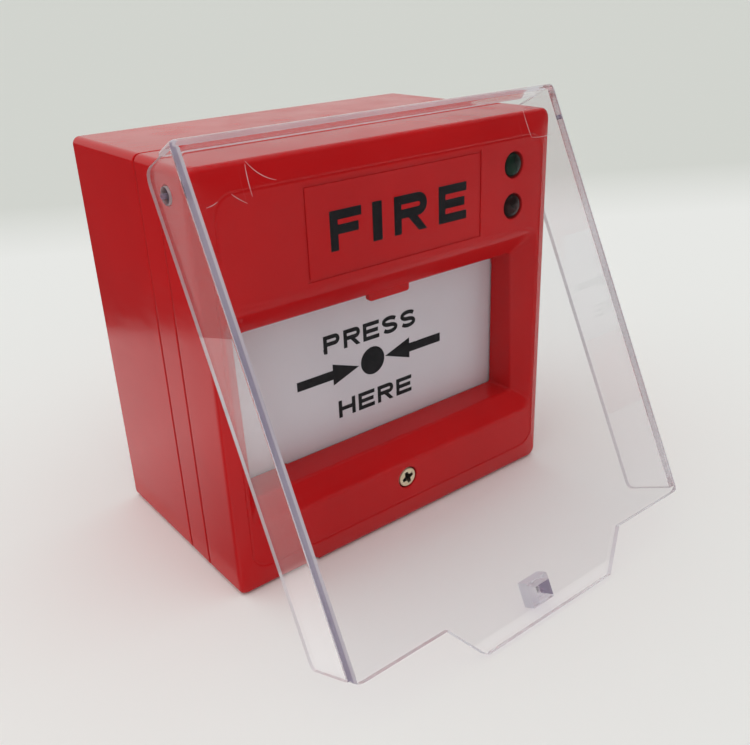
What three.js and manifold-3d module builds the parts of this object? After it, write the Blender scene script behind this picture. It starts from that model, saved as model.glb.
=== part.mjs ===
// A manual call point for a fire alarm: a surface-mounting box, a middle frame that carries the
// circuit board, a front shell with a dished window, a sprung press plate that works a microswitch,
// and a clear flap that swings up on two moulded pins. Millimetres, +Z up.
//
// The origin is the centre of the face that goes against the wall. +Y points into the wall, so the
// whole object stands at negative Y, and "depth" below means the distance out from the wall.

import * as THREE from 'three';
import { ConvexGeometry } from 'three/addons/geometries/ConvexGeometry.js';
import { mergeVertices } from 'three/addons/utils/BufferGeometryUtils.js';
import Module from 'manifold-3d';

const wasm = await Module();
wasm.setup();

// ---- Driving dimensions ----

const GAP = 0.3;                    // between pieces that meet
const BEYOND = 1;                   // how far a cutter runs past the face it cuts
const ROUND_SIDES = 24;
const SMALL_SIDES = 12;

// Casing
const WIDTH = 86;
const HEIGHT = 86;
const CORNER = 2.8;                 // outline corner radius
const WALL = 2.3;
const BOX_FRONT = 30;               // depths of the parting lines
const FRAME_REAR = BOX_FRONT + GAP;
const FRAME_FRONT = 38.1;
const SHELL_REAR = FRAME_FRONT + GAP;
const SHELL_FRONT = 52.4;
const SHELL_EDGE = 2.5;             // radius round the front edge
const REAR_WALL = 2.4;
const FLOOR_FRONT = FRAME_REAR + 2; // the middle frame's floor
const INSIDE_X = WIDTH / 2 - WALL;
const INSIDE_Z = HEIGHT / 2 - WALL;

// Fixings
const POST_X = 30.15;               // half of the 60.3 mm spacing of the frame screws
const POST_RADIUS = 4.6;
const POST_BORE_FLOOR = 16;
const INSERT_DEPTHS = [20, BOX_FRONT - 0.6];
const WALL_SLOT_Z = 30;
const WALL_SLOT = { length: 9, width: 4.6 };
const KNOCKOUT = { x: 20, z: -20, radius: 9, groove: 1, deep: 1.3 };
const FRONT_SCREW_Z = -31.8;
const HEAD_RADIUS = 2.2;
const FRONT_BOSS_FRONT = 44.2;

// Window and press plate
const WINDOW = { halfX: 35.5, bottom: -23, top: 11.3 };
const DISH = { halfX: 39.2, bottom: -27.5, top: 17, bottomDeep: 3.2, topDeep: 4.6, radius: 3 };
const TUBE_WALL = 1.8;
const TUBE_REAR = 42;
const TONGUE = { halfX: 5.3, drop: 2, depths: [46.6, 48], radius: 1 };
const PLATE = { halfX: 38, bottom: -26, top: 14.2, rear: 39.8, front: 41.6 };
const PEG = { x: 33, z: [-19, 8.5], radius: 2, rear: 33 };
const SPRING = { radius: 2.8, wire: 0.3, turns: 4, stepsPerTurn: 12 };
const ARM = { x: [-5, -2], top: 24, depths: [45.8, 47] };

// Front details
const LEGEND_FRAME = { halfX: 22, bottom: 19, top: 37, groove: 0.5, deep: 0.3 };
const BORDER = { halfX: 39.9, bottom: -37.4, top: 38.2, radius: 4, groove: 0.4, deep: 0.25 };
const LAMP = { x: 31.3, green: 32.5, red: 23.7, radius: 2.45, tip: 53, dome: 1.3 };
const LAMP_HOLE = 2.75;
const LEG_SPREAD = 1.27;

// Circuit board and what it carries
const BOARD = { rear: 33.6, front: 35.2 };
const BOARD_SCREWS = [[-33, 34], [20, 34], [-20, -20], [20, -20]];
const SWITCH = { x: [-14.6, -0.8], z: [17.5, 23.3], rear: BOARD.front + GAP, front: 41.7 };
const SWITCH_PINS_X = [-12.4, -7.3, -2.2];
const LEVER = { x: -13.4, depth: 42.3, length: 13, lift: THREE.MathUtils.degToRad(15) };
const PLUNGER = { x: [-10, -8.8], z: [19.2, 21.6], depths: [40, 42.9] };
const TERMINAL = { halfX: 10.3, z: [-22, -10], rear: 22, pitch: 5.08, poles: 4, screwZ: -16 };

// Flap
const PIVOT = { depth: 45.1, z: 38.1 };
const FLAP_TILT = THREE.MathUtils.degToRad(26.14);
const FLAP = {
  halfX: 45.1,
  thickness: 1.8,
  outer: 10.2,                      // depths measured forward of the pivot
  inner: 8.2,
  top: 6.5,                         // heights measured from the pivot
  bottom: -86.4,
  wallRear: -3.6,
  lipRear: 4.2,
  lipThickness: 1.2,
};
const TAB = { topHalfX: 24, endHalfX: 17.5, end: -94.3 };
const EYELET = { x: [-3.3, 2.3], z: [-92.1, -87.1], wall: 0.9, rear: 5.7 };
const PIN = { radius: 1.6, bore: 0.5, inner: 40.4 };

// ---- Finishes ----

const FINISH = {
  redPlastic: { color: 0xb8181c, roughness: 0.28, metalness: 0 },
  whitePlastic: { color: 0xd9d6d4, roughness: 0.5, metalness: 0 },
  clearPlastic: { color: 0xe6e4ee, roughness: 0.08, metalness: 0, transparent: true, opacity: 0.3 },
  brass: { color: 0xb9985a, roughness: 0.35, metalness: 1 },
  zinc: { color: 0xb8b2a4, roughness: 0.35, metalness: 1 },
  spring: { color: 0x9a9da0, roughness: 0.3, metalness: 1 },
  greenLens: { color: 0x0c2416, roughness: 0.1, metalness: 0 },
  redLens: { color: 0x26090b, roughness: 0.1, metalness: 0 },
  board: { color: 0x1f5b34, roughness: 0.55, metalness: 0 },
  blackPlastic: { color: 0x1b1b1d, roughness: 0.5, metalness: 0 },
  greenPlastic: { color: 0x2f7d46, roughness: 0.5, metalness: 0 },
  resistor: { color: 0xb79a6a, roughness: 0.6, metalness: 0 },
};

// ---- Solids from three.js geometry ----

// A closed geometry as a solid that can be joined and cut.
function solid(geometry) {
  geometry.deleteAttribute('normal');
  geometry.deleteAttribute('uv');
  const merged = mergeVertices(geometry, 1e-4);
  return new wasm.Manifold(new wasm.Mesh({
    numProp: 3,
    vertProperties: merged.getAttribute('position').array,
    triVerts: new Uint32Array(merged.index.array),
  }));
}

function joined(...solids) {
  return solids.reduce((whole, next) => whole.add(next));
}

function cut(whole, ...tools) {
  return tools.reduce((left, tool) => left.subtract(tool), whole);
}

// A named mesh with a material of its own.
function piece(name, shape, finish) {
  const { vertProperties, triVerts } = shape.getMesh();
  const geometry = new THREE.BufferGeometry();
  geometry.setAttribute('position', new THREE.BufferAttribute(new Float32Array(vertProperties), 3));
  geometry.setIndex(new THREE.BufferAttribute(new Uint32Array(triVerts), 1));
  geometry.computeVertexNormals();
  const mesh = new THREE.Mesh(geometry, new THREE.MeshStandardMaterial(finish));
  mesh.name = name;
  return mesh;
}

function brick([x0, x1], [d0, d1], [z0, z1]) {
  const geometry = new THREE.BoxGeometry(x1 - x0, d1 - d0, z1 - z0);
  geometry.translate((x0 + x1) / 2, -(d0 + d1) / 2, (z0 + z1) / 2);
  return solid(geometry);
}

// A cylinder that runs front to back.
function rod([x, z], radius, [d0, d1], sides = ROUND_SIDES) {
  const geometry = new THREE.CylinderGeometry(radius, radius, d1 - d0, sides);
  geometry.translate(x, -(d0 + d1) / 2, z);
  return solid(geometry);
}

// A cylinder that runs left to right.
function axle([x0, x1], radius, [depth, z], sides = ROUND_SIDES) {
  const geometry = new THREE.CylinderGeometry(radius, radius, x1 - x0, sides);
  geometry.rotateZ(Math.PI / 2);
  geometry.translate((x0 + x1) / 2, -depth, z);
  return solid(geometry);
}

// A shape drawn in X and Z, thickened from one depth to another.
function slab(shape, [d0, d1]) {
  const geometry = new THREE.ExtrudeGeometry(shape, {
    depth: d1 - d0,
    bevelEnabled: false,
    curveSegments: 6,
  });
  geometry.rotateX(Math.PI / 2);
  geometry.translate(0, -d0, 0);
  return solid(geometry);
}

// A shape drawn in Y and Z, thickened from one X to another.
function strip(shape, [x0, x1]) {
  const geometry = new THREE.ExtrudeGeometry(shape, {
    depth: x1 - x0,
    bevelEnabled: false,
    curveSegments: 6,
  });
  const turn = new THREE.Matrix4().makeBasis(
    new THREE.Vector3(0, 1, 0),
    new THREE.Vector3(0, 0, 1),
    new THREE.Vector3(1, 0, 0),
  );
  geometry.applyMatrix4(turn);
  geometry.translate(x0, 0, 0);
  return solid(geometry);
}

// A turned solid about a front-to-back axis. The profile lists [radius, depth] from the front end
// on the axis to the rear end on the axis.
function turned([x, z], profile, sides = ROUND_SIDES) {
  const points = profile.map(([radius, depth]) => new THREE.Vector2(radius, -depth));
  const geometry = new THREE.LatheGeometry(points, sides);
  geometry.translate(x, 0, z);
  return solid(geometry);
}

// A polygon with each corner rounded by its own radius, given as [u, v, radius].
function roundedShape(corners) {
  const shape = new THREE.Shape();
  corners.forEach(([u, v, radius], i) => {
    const corner = new THREE.Vector2(u, v);
    const [pu, pv] = corners[(i + corners.length - 1) % corners.length];
    const [nu, nv] = corners[(i + 1) % corners.length];
    const back = new THREE.Vector2(pu, pv).sub(corner).normalize();
    const on = new THREE.Vector2(nu, nv).sub(corner).normalize();
    const reach = radius / Math.tan(back.angleTo(on) / 2);
    const start = corner.clone().addScaledVector(back, reach);
    const end = corner.clone().addScaledVector(on, reach);
    if (i === 0) shape.moveTo(start.x, start.y);
    else shape.lineTo(start.x, start.y);
    if (radius > 0) shape.quadraticCurveTo(u, v, end.x, end.y);
  });
  shape.closePath();
  return shape;
}

function roundedRect([u0, u1], [v0, v1], radius) {
  return roundedShape([
    [u0, v0, radius],
    [u1, v0, radius],
    [u1, v1, radius],
    [u0, v1, radius],
  ]);
}

const caseOutline = (inset, radius) => roundedRect(
  [inset - WIDTH / 2, WIDTH / 2 - inset],
  [inset - HEIGHT / 2, HEIGHT / 2 - inset],
  radius,
);

// A tube: a rod with a bore right through it.
function sleeve(at, outer, inner, [d0, d1]) {
  return cut(rod(at, outer, [d0, d1]), rod(at, inner, [d0 - BEYOND, d1 + BEYOND]));
}

// ---- Casing ----

// The ring-shaped groove that leaves a thin web round a cable knockout.
function knockoutGroove() {
  const { radius, groove, deep } = KNOCKOUT;
  return [
    [radius, -BEYOND],
    [radius, deep],
    [radius + groove, deep],
    [radius + groove, -BEYOND],
    [radius, -BEYOND],
  ];
}

function backBox() {
  let box = slab(caseOutline(0, CORNER), [0, BOX_FRONT]);
  box = cut(box, slab(caseOutline(WALL, 1), [REAR_WALL, BOX_FRONT + BEYOND]));
  for (const side of [-1, 1]) {
    const post = rod([side * POST_X, 0], POST_RADIUS, [REAR_WALL / 2, BOX_FRONT]);
    const bore = rod([side * POST_X, 0], 3, [POST_BORE_FLOOR, BOX_FRONT + BEYOND]);
    const stiffener = brick(
      [side * POST_X - 0.8, side * POST_X + 0.8],
      [REAR_WALL / 2, POST_BORE_FLOOR],
      [-12, 12],
    );
    box = cut(joined(box, post, stiffener), bore);
    box = cut(box, turned([side * KNOCKOUT.x, KNOCKOUT.z], knockoutGroove()));
  }
  const long = WALL_SLOT.length / 2;
  const wide = WALL_SLOT.width / 2;
  const through = [-BEYOND, REAR_WALL + BEYOND];
  const upper = roundedRect([-long, long], [WALL_SLOT_Z - wide, WALL_SLOT_Z + wide], wide * 0.9);
  const lower = roundedRect([-wide, wide], [-WALL_SLOT_Z - long, long - WALL_SLOT_Z], wide * 0.9);
  return piece('back_box', cut(box, slab(upper, through), slab(lower, through)), FINISH.redPlastic);
}

const pegPlaces = PEG.z.flatMap((z) => [[-PEG.x, z], [PEG.x, z]]);

function middleFrame() {
  let frame = slab(caseOutline(0, CORNER), [FRAME_REAR, FRAME_FRONT]);
  frame = cut(frame, slab(caseOutline(WALL, 1), [FLOOR_FRONT, FRAME_FRONT + BEYOND]));
  for (const at of BOARD_SCREWS) {
    frame = joined(frame, rod(at, 3, [FLOOR_FRONT - 0.5, BOARD.rear - GAP]));
  }
  frame = joined(frame, rod([0, FRONT_SCREW_Z], 4.2, [FLOOR_FRONT - 0.5, FRONT_BOSS_FRONT]));
  const through = [FRAME_REAR - BEYOND, FRAME_FRONT];
  for (const at of BOARD_SCREWS) {
    frame = cut(frame, rod(at, 1.4, through, SMALL_SIDES));
  }
  for (const at of pegPlaces) {
    frame = cut(frame, rod(at, PEG.radius + 0.4, through));
  }
  for (const side of [-1, 1]) {
    frame = cut(frame, rod([side * POST_X, 0], 2.1, through));
    const catchSlot = [side * 24 - 4.4, side * 24 + 4.4];
    frame = cut(frame, brick(catchSlot, [34.9, 37.2], [INSIDE_Z - 0.5, HEIGHT / 2 - 0.8]));
  }
  const wireWay = brick([-11, 11], through, [TERMINAL.z[0] - 1, TERMINAL.z[1] + 1]);
  const insertBore = rod([0, FRONT_SCREW_Z], 2.9, [36, FRONT_BOSS_FRONT + BEYOND]);
  return piece('middle_frame', cut(frame, wireWay, insertBore), FINISH.redPlastic);
}

// The window's dished surround: the space between a rounded rectangle on the front face and the
// smaller window behind it, which lies deeper at the top than at the bottom.
function dish() {
  const rimDepth = SHELL_FRONT + 0.01;
  const rim = roundedRect([-DISH.halfX, DISH.halfX], [DISH.bottom, DISH.top], DISH.radius);
  const points = rim.getPoints(4).map((p) => new THREE.Vector3(p.x, -rimDepth, p.y));
  for (const x of [-WINDOW.halfX, WINDOW.halfX]) {
    points.push(new THREE.Vector3(x, DISH.bottomDeep - SHELL_FRONT, WINDOW.bottom));
    points.push(new THREE.Vector3(x, DISH.topDeep - SHELL_FRONT, WINDOW.top));
  }
  return solid(new ConvexGeometry(points));
}

// A groove that follows a rounded rectangle on the front face.
function frontGroove({ halfX, bottom, top, groove, deep }, radius) {
  const depths = [SHELL_FRONT - deep, SHELL_FRONT + BEYOND];
  const outer = roundedRect([-halfX, halfX], [bottom, top], radius);
  const inner = roundedRect(
    [groove - halfX, halfX - groove],
    [bottom + groove, top - groove],
    Math.max(radius - groove, 0),
  );
  return cut(slab(outer, depths), slab(inner, depths));
}

// The front shell's outer form: the case outline, drawn in along a quarter circle at the front edge.
function shellBlank() {
  const points = [];
  const addOutline = (inset, depth) => {
    const outline = caseOutline(inset, CORNER - inset);
    points.push(...outline.getPoints(6).map((p) => new THREE.Vector3(p.x, -depth, p.y)));
  };
  addOutline(0, SHELL_REAR);
  const steps = 5;
  for (let i = 0; i <= steps; i += 1) {
    const angle = Math.PI / 2 * i / steps;
    const inset = SHELL_EDGE * (1 - Math.cos(angle));
    addOutline(inset, SHELL_FRONT - SHELL_EDGE * (1 - Math.sin(angle)));
  }
  return solid(new ConvexGeometry(points));
}

function frontShell() {
  const wallRear = SHELL_FRONT - WALL;
  let shell = cut(shellBlank(), slab(caseOutline(WALL, 1), [SHELL_REAR - BEYOND, wallRear]));
  const { halfX, bottom, top } = WINDOW;
  const surround = brick([-INSIDE_X - 0.1, INSIDE_X + 0.1], [47.4, wallRear + 0.1], [-29, 19]);
  const tube = brick(
    [-halfX - TUBE_WALL, halfX + TUBE_WALL],
    [TUBE_REAR, wallRear + 0.1],
    [bottom - TUBE_WALL, top + TUBE_WALL],
  );
  const screwTube = rod([0, FRONT_SCREW_Z], 3.8, [FRONT_BOSS_FRONT + GAP, wallRear + 0.1]);
  shell = joined(shell, surround, tube, screwTube);
  shell = cut(
    shell,
    brick([-halfX, halfX], [TUBE_REAR - BEYOND, SHELL_FRONT + BEYOND], [bottom, top]),
    dish(),
    rod([0, FRONT_SCREW_Z], 1.8, [SHELL_REAR, SHELL_FRONT + BEYOND]),
    rod([0, FRONT_SCREW_Z], HEAD_RADIUS + 0.35, [SHELL_FRONT - 2, SHELL_FRONT + BEYOND]),
    rod([LAMP.x, LAMP.green], LAMP_HOLE, [wallRear - BEYOND, SHELL_FRONT + BEYOND]),
    rod([LAMP.x, LAMP.red], LAMP_HOLE, [wallRear - BEYOND, SHELL_FRONT + BEYOND]),
    frontGroove(LEGEND_FRAME, 0),
    frontGroove(BORDER, BORDER.radius),
  );
  const tongue = roundedShape([
    [-TONGUE.halfX, top + 0.5, 0],
    [-TONGUE.halfX, top - TONGUE.drop, TONGUE.radius],
    [TONGUE.halfX, top - TONGUE.drop, TONGUE.radius],
    [TONGUE.halfX, top + 0.5, 0],
  ]);
  shell = joined(shell, slab(tongue, TONGUE.depths));
  for (const side of [-1, 1]) {
    const pinHole = [side * 42 - 3, side * 42 + 3];
    shell = cut(shell, axle(pinHole, PIN.radius + GAP, [PIVOT.depth, PIVOT.z]));
    const x = [side * 24 - 4, side * 24 + 4];
    const finger = brick(x, [35, SHELL_REAR + 0.5], [38.6, INSIDE_Z - 0.4]);
    const root = brick(x, [SHELL_REAR, wallRear + 0.1], [38.6, INSIDE_Z + 0.1]);
    const nib = brick(x, [35.3, 36.8], [INSIDE_Z - 1, INSIDE_Z + 1]);
    shell = joined(shell, finger, root, nib);
  }
  return piece('front_shell', shell, FINISH.redPlastic);
}

// ---- Screws and inserts ----

// A round-headed screw whose head faces the front. A cross recess is cut into its face.
function screw(name, at, { head, shank, face, under, tip, turn = 0 }) {
  const body = turned(at, [
    [0, face],
    [head * 0.7, face],
    [head, face - 0.6],
    [head, under],
    [shank, under],
    [shank, tip + 0.6],
    [shank * 0.5, tip],
    [0, tip],
  ], 18);
  const recess = [0, Math.PI / 2].map((angle) => {
    const slot = new THREE.BoxGeometry(head * 1.3, 1.6, head * 0.32);
    slot.rotateY(angle + turn);
    slot.translate(at[0], -face, at[1]);
    return solid(slot);
  });
  return piece(name, cut(body, ...recess), FINISH.zinc);
}

function fasteners() {
  const made = [
    screw('front_screw', [0, FRONT_SCREW_Z], {
      head: HEAD_RADIUS,
      shank: 1.4,
      face: SHELL_FRONT - 0.1,
      under: SHELL_FRONT - 1.7,
      tip: 36.4,
      turn: 0.35,
    }),
    piece(
      'front_screw_insert',
      sleeve([0, FRONT_SCREW_Z], 2.6, 1.7, [37.5, FRONT_BOSS_FRONT - 0.2]),
      FINISH.brass,
    ),
  ];
  for (const [side, x] of [['left', -POST_X], ['right', POST_X]]) {
    made.push(screw('frame_screw_' + side, [x, 0], {
      head: 3.2,
      shank: 1.7,
      face: 34.8,
      under: FLOOR_FRONT + GAP,
      tip: 18,
    }));
    made.push(piece('box_insert_' + side, sleeve([x, 0], 2.7, 2, INSERT_DEPTHS), FINISH.brass));
  }
  BOARD_SCREWS.forEach((at, i) => {
    made.push(screw('board_screw_' + (i + 1), at, {
      head: 2.4,
      shank: 1.1,
      face: 36.9,
      under: BOARD.front + GAP,
      tip: FRAME_REAR + 0.4,
    }));
  });
  return made;
}

// ---- Press plate and its springs ----

function pressPlate() {
  const { halfX, bottom, top, rear, front } = PLATE;
  const face = slab(roundedRect([-halfX, halfX], [bottom, top], 1), [rear, front]);
  const pegs = pegPlaces.map((at) => rod(at, PEG.radius, [PEG.rear, rear + 0.5]));
  const armRoot = brick(ARM.x, [rear, ARM.depths[1]], [top - 0.7, top + 1.3]);
  const arm = brick(ARM.x, ARM.depths, [top - 0.7, ARM.top]);
  return piece('press_plate', joined(face, ...pegs, armRoot, arm), FINISH.whitePlastic);
}

class Coil extends THREE.Curve {
  constructor([x, z], [d0, d1]) {
    super();
    this.at = [x, z];
    this.depths = [d0, d1];
  }

  getPoint(t, target = new THREE.Vector3()) {
    const angle = 2 * Math.PI * SPRING.turns * t;
    const [x, z] = this.at;
    const [d0, d1] = this.depths;
    return target.set(
      x + SPRING.radius * Math.cos(angle),
      -(d0 + (d1 - d0) * t),
      z + SPRING.radius * Math.sin(angle),
    );
  }
}

function circle(radius, sides) {
  const shape = new THREE.Shape();
  for (let i = 0; i < sides; i += 1) {
    const angle = 2 * Math.PI * i / sides;
    const [u, v] = [radius * Math.cos(angle), radius * Math.sin(angle)];
    if (i === 0) shape.moveTo(u, v);
    else shape.lineTo(u, v);
  }
  return shape;
}

function wire(path, radius, steps, sides = 5) {
  return solid(new THREE.ExtrudeGeometry(circle(radius, sides), { steps, extrudePath: path }));
}

function plateSprings() {
  const clear = GAP + SPRING.wire;
  return pegPlaces.map((at, i) => {
    const coil = new Coil(at, [FLOOR_FRONT + clear, PLATE.rear - clear]);
    const steps = SPRING.turns * SPRING.stepsPerTurn;
    return piece('plate_spring_' + (i + 1), wire(coil, SPRING.wire, steps), FINISH.spring);
  });
}

// A leaf that bears on the plate's lower edge and snaps in front of it once it has been pressed.
function latchSpring() {
  const leaf = [
    [32.6, -34],
    [32.6, -28.4],
    [38.4, -27.8],
    [40.4, -26.4],
    [42.7, -28.3],
  ];
  const thickness = 0.4;
  const shape = new THREE.Shape();
  leaf.forEach(([depth, z], i) => {
    if (i === 0) shape.moveTo(-depth, z);
    else shape.lineTo(-depth, z);
  });
  for (const [depth, z] of leaf.slice(2).reverse()) {
    shape.lineTo(-depth, z - thickness);
  }
  shape.lineTo(-32.6 - thickness, -28.4 - thickness);
  shape.lineTo(-32.6 - thickness, -34);
  shape.closePath();
  return piece('plate_latch_spring', strip(shape, [12, 18]), FINISH.spring);
}

// ---- Lamps ----

function lamp(name, z, finish) {
  const domeStart = LAMP.tip - LAMP.dome;
  const dome = [];
  for (let i = 0; i < 6; i += 1) {
    const angle = Math.PI / 2 * i / 6;
    dome.push([LAMP.radius * Math.sin(angle), domeStart + LAMP.dome * Math.cos(angle)]);
  }
  const lens = turned([LAMP.x, z], [
    ...dome,
    [LAMP.radius, domeStart],
    [LAMP.radius, 45.2],
    [2.9, 45.2],
    [2.9, 44.2],
    [0, 44.2],
  ]);
  const legs = [-LEG_SPREAD, LEG_SPREAD].map((dx) => rod([LAMP.x + dx, z], 0.25, [33, 44.6], 8));
  return piece(name, joined(lens, ...legs), finish);
}

function lamps() {
  const spacer = (z) => sleeve([LAMP.x, z], 2.7, 2, [BOARD.front + GAP, 44.2 - GAP]);
  return [
    lamp('green_lamp', LAMP.green, FINISH.greenLens),
    lamp('red_lamp', LAMP.red, FINISH.redLens),
    piece('green_lamp_spacer', spacer(LAMP.green), FINISH.blackPlastic),
    piece('red_lamp_spacer', spacer(LAMP.red), FINISH.blackPlastic),
  ];
}

// ---- Circuit board ----

// Two-leaded parts that lie along the board: name, centre [x, z], half length, radius and finish.
const AXIAL_PARTS = [
  { name: 'line_resistor', at: [-8, 28], half: 3.2, radius: 1.15, finish: FINISH.resistor },
  { name: 'end_of_line_resistor', at: [-8, 32.6], half: 3.2, radius: 1.15, finish: FINISH.resistor },
  { name: 'polarity_diode', at: [9, 24], half: 2.6, radius: 1.3, finish: FINISH.blackPlastic },
];
const LEAD_REACH = 5.08;
const PART_DEPTH = 36.9;

function circuitBoard() {
  const outline = roundedShape([
    [-26, -24, 1],
    [26, -24, 1],
    [26, 15.5, 0],
    [37, 15.5, 1],
    [37, 38, 1],
    [-37, 38, 1],
    [-37, 15.5, 1],
    [-26, 15.5, 0],
  ]);
  let board = slab(outline, [BOARD.rear, BOARD.front]);
  const drilled = (at, radius) => {
    board = cut(board, rod(at, radius, [BOARD.rear - BEYOND, BOARD.front + BEYOND], SMALL_SIDES));
  };
  BOARD_SCREWS.forEach((at) => drilled(at, 1.5));
  SWITCH_PINS_X.forEach((x) => drilled([x, 20.4], 0.85));
  for (const z of [LAMP.green, LAMP.red]) {
    drilled([LAMP.x - LEG_SPREAD, z], 0.6);
    drilled([LAMP.x + LEG_SPREAD, z], 0.6);
  }
  for (const { at: [x, z] } of AXIAL_PARTS) {
    drilled([x - LEAD_REACH, z], 0.65);
    drilled([x + LEAD_REACH, z], 0.65);
  }
  return piece('circuit_board', board, FINISH.board);
}

// The lead rises from the board, bends, runs through the body and goes down again.
function leadPath([x, z]) {
  const point = (dx, depth) => new THREE.Vector3(x + dx, -depth, z);
  const bend = 1;
  const path = new THREE.CurvePath();
  path.add(new THREE.LineCurve3(point(-LEAD_REACH, 33), point(-LEAD_REACH, PART_DEPTH - bend)));
  path.add(new THREE.QuadraticBezierCurve3(
    point(-LEAD_REACH, PART_DEPTH - bend),
    point(-LEAD_REACH, PART_DEPTH),
    point(bend - LEAD_REACH, PART_DEPTH),
  ));
  path.add(new THREE.LineCurve3(
    point(bend - LEAD_REACH, PART_DEPTH),
    point(LEAD_REACH - bend, PART_DEPTH),
  ));
  path.add(new THREE.QuadraticBezierCurve3(
    point(LEAD_REACH - bend, PART_DEPTH),
    point(LEAD_REACH, PART_DEPTH),
    point(LEAD_REACH, PART_DEPTH - bend),
  ));
  path.add(new THREE.LineCurve3(point(LEAD_REACH, PART_DEPTH - bend), point(LEAD_REACH, 33)));
  return path;
}

function axialPart({ name, at, half, radius, finish }) {
  const body = axle([at[0] - half, at[0] + half], radius, [PART_DEPTH, at[1]], SMALL_SIDES);
  return piece(name, joined(body, wire(leadPath(at), 0.3, 36)), finish);
}

// ---- Microswitch ----

function microswitch() {
  const { x, z, rear, front } = SWITCH;
  const ear = [LEVER.x - 1.2, LEVER.x + 1.2];
  let housing = joined(
    brick(x, [rear, front], z),
    brick(ear, [front - 0.5, LEVER.depth + 1.2], [z[0], z[0] + 0.9]),
    brick(ear, [front - 0.5, LEVER.depth + 1.2], [z[1] - 0.9, z[1]]),
  );
  const well = brick(
    [PLUNGER.x[0] - 0.4, PLUNGER.x[1] + 0.4],
    [PLUNGER.depths[0] - 1.4, front + BEYOND],
    [PLUNGER.z[0] - 0.4, PLUNGER.z[1] + 0.4],
  );
  const pinHole = new THREE.CylinderGeometry(0.7, 0.7, 10, SMALL_SIDES);
  pinHole.rotateX(Math.PI / 2);
  pinHole.translate(LEVER.x, -LEVER.depth, (z[0] + z[1]) / 2);
  housing = cut(housing, well, solid(pinHole));
  const plunger = brick(PLUNGER.x, PLUNGER.depths, PLUNGER.z);
  const pins = SWITCH_PINS_X.map((pinX, i) => piece(
    'switch_pin_' + (i + 1),
    brick([pinX - 0.4, pinX + 0.4], [32.7, rear - GAP], [20.15, 20.65]),
    FINISH.zinc,
  ));
  return [
    piece('switch_body', housing, FINISH.blackPlastic),
    piece('switch_plunger', plunger, FINISH.whitePlastic),
    switchLever(),
    ...pins,
  ];
}

// The lever is drawn along X from its pin, then lifted towards the front.
function switchLever() {
  const middle = (SWITCH.z[0] + SWITCH.z[1]) / 2;
  const blade = brick([0, LEVER.length], [-0.15, 0.15], [-1.7, 1.7]);
  const pin = new THREE.CylinderGeometry(0.4, 0.4, 5.4, SMALL_SIDES);
  pin.rotateX(Math.PI / 2);
  const lever = piece('switch_lever', joined(blade, solid(pin)), FINISH.spring);
  lever.position.set(LEVER.x, -LEVER.depth, middle);
  lever.rotation.z = -LEVER.lift;
  return lever;
}

// ---- Terminal block ----

function terminalBlock() {
  const { halfX, z, rear, pitch, poles, screwZ } = TERMINAL;
  let block = brick([-halfX, halfX], [rear, BOARD.rear - GAP], z);
  const made = [];
  for (let i = 0; i < poles; i += 1) {
    const x = (i - (poles - 1) / 2) * pitch;
    const screwWay = rod([x, screwZ], 1.9, [rear - BEYOND, 26.5], SMALL_SIDES);
    const pocket = brick([x - 2, x + 2], [26, 31], [z[0] - BEYOND, -13.5]);
    block = cut(block, screwWay, pocket);
    const clamp = cut(
      brick([x - 1.7, x + 1.7], [26.3, 30.7], [-21.5, -14]),
      brick([x - 0.9, x + 0.9], [27.2, 29.9], [-21.5 - BEYOND, -14 + BEYOND]),
    );
    const clampScrew = cut(
      joined(
        rod([x, screwZ], 1.5, [22.4, 24.4], SMALL_SIDES),
        rod([x, screwZ], 0.9, [24, 26], SMALL_SIDES),
      ),
      brick([x - 2, x + 2], [rear, 23.2], [screwZ - 0.25, screwZ + 0.25]),
    );
    made.push(piece('terminal_clamp_' + (i + 1), clamp, FINISH.brass));
    made.push(piece('terminal_screw_' + (i + 1), clampScrew, FINISH.zinc));
  }
  return [piece('terminal_block', block, FINISH.greenPlastic), ...made];
}

// ---- Clear flap ----

// Drawn shut, about its pivot, then hung on the pivot and swung open to where its tab stands on
// the surface below the casing.
function clearFlap() {
  const { halfX, thickness, outer, inner, top, bottom, wallRear, lipRear, lipThickness } = FLAP;
  const front = slab(roundedShape([
    [-halfX, bottom, 2.5],
    [-TAB.topHalfX, bottom, 0],
    [-TAB.endHalfX, TAB.end, 1],
    [TAB.endHalfX, TAB.end, 1],
    [TAB.topHalfX, bottom, 0],
    [halfX, bottom, 2.5],
    [halfX, top, 1.2],
    [-halfX, top, 1.2],
  ]), [inner, outer]);
  const wallShape = roundedShape([
    [-outer, bottom + 0.9, 2],
    [-wallRear, bottom + 0.9, 1.5],
    [-wallRear, top - 1, 3],
    [-outer, top - 1, 0],
  ]);
  const lip = brick([-halfX, halfX], [lipRear, outer], [top - lipThickness, top]);
  const eyelet = brick(EYELET.x, [EYELET.rear, inner + 0.5], EYELET.z);
  const eyeletHole = brick(
    [EYELET.x[0] + EYELET.wall, EYELET.x[1] - EYELET.wall],
    [EYELET.rear - BEYOND, outer + BEYOND],
    [EYELET.z[0] + EYELET.wall, EYELET.z[1] - EYELET.wall],
  );
  let flap = joined(front, lip, eyelet);
  for (const side of [-1, 1]) {
    const wallSpan = [side * (halfX - thickness), side * halfX].sort((a, b) => a - b);
    const pinSpan = [side * PIN.inner, side * (halfX - 0.5)].sort((a, b) => a - b);
    flap = joined(flap, strip(wallShape, wallSpan), axle(pinSpan, PIN.radius, [0, 0]));
  }
  const bore = axle([-halfX - BEYOND, halfX + BEYOND], PIN.bore, [0, 0], SMALL_SIDES);
  const group = new THREE.Group();
  group.add(piece('clear_flap', cut(flap, eyeletHole, bore), FINISH.clearPlastic));
  group.position.set(0, -PIVOT.depth, PIVOT.z);
  group.rotation.x = -FLAP_TILT;
  return group;
}

// ---- The whole call point ----

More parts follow.
